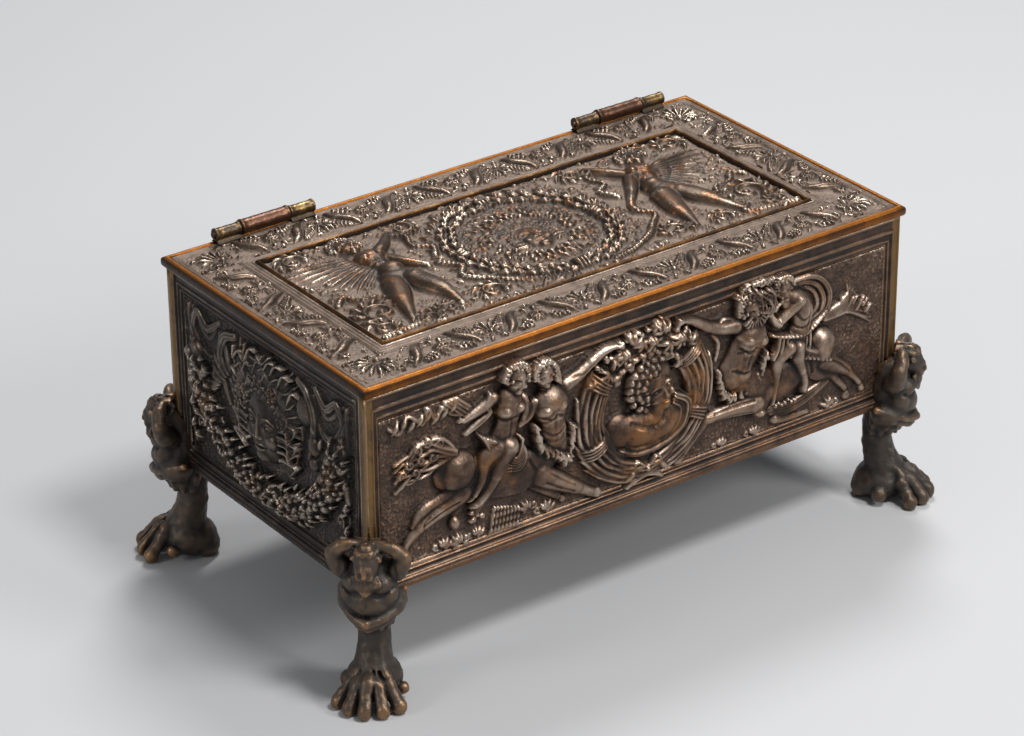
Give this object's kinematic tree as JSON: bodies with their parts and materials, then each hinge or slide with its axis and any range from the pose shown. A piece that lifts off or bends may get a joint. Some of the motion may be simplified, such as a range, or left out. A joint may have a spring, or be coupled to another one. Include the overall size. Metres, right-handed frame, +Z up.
{
  "type": "writing box",
  "caption": "Cast bronze writing casket on lion-paw feet: relief walls with wreath and riders, mask and garland ends, and a hinged lid with scroll border and figure field",
  "frame": {"origin": "centre of the bounding box on the floor, under the middle of the box", "axes": "+X along the front to the right, +Y from the front to the hinges at the back, +Z up"},
  "size_m": [0.2378, 0.1408, 0.1111],
  "materials": {
    "bronze": "cast bronze, dark brown patina rubbed to gold-brown on the high edges",
    "dark_bronze": "cast bronze, near-black patina",
    "dusty_bronze": "cast bronze, worn golden rims and dusty recesses",
    "hinge_brass": "dull forged brass with bright turned edges",
    "copper_pin": "reddish copper-coloured pin end"
  },
  "bodies": {
    "casket": {"front_panel": "bronze", "back_panel": "bronze", "left_panel": "dark_bronze", "right_panel": "dark_bronze", "base_plate": "dark_bronze", "foot_front_left": "bronze", "foot_front_right": "bronze", "foot_back_right": "bronze", "foot_back_left": "bronze", "foot_rivet_front_left_long": "dark_bronze", "foot_rivet_front_left_end": "dark_bronze", "foot_rivet_front_right_long": "dark_bronze", "foot_rivet_front_right_end": "dark_bronze", "foot_rivet_back_right_long": "dark_bronze", "foot_rivet_back_right_end": "dark_bronze", "foot_rivet_back_left_long": "dark_bronze", "foot_rivet_back_left_end": "dark_bronze", "left_hinge_strap": "hinge_brass", "right_hinge_strap": "hinge_brass", "left_hinge_pin": "copper_pin", "right_hinge_pin": "copper_pin", "left_strap_rivet_a": "hinge_brass", "left_strap_rivet_b": "hinge_brass", "right_strap_rivet_a": "hinge_brass", "right_strap_rivet_b": "hinge_brass"},
    "lid": {"lid": "dusty_bronze", "left_hinge_knuckle_a": "hinge_brass", "left_hinge_knuckle_b": "hinge_brass", "right_hinge_knuckle_a": "hinge_brass", "right_hinge_knuckle_b": "hinge_brass"}
  },
  "joints": [
    {"name": "lid_hinge", "type": "hinge", "parent": "casket", "child": "lid", "pos_m": [0, 0.0544, 0.1087], "axis": [-1, 0, 0], "range_deg": [0, 110]}
  ]
}
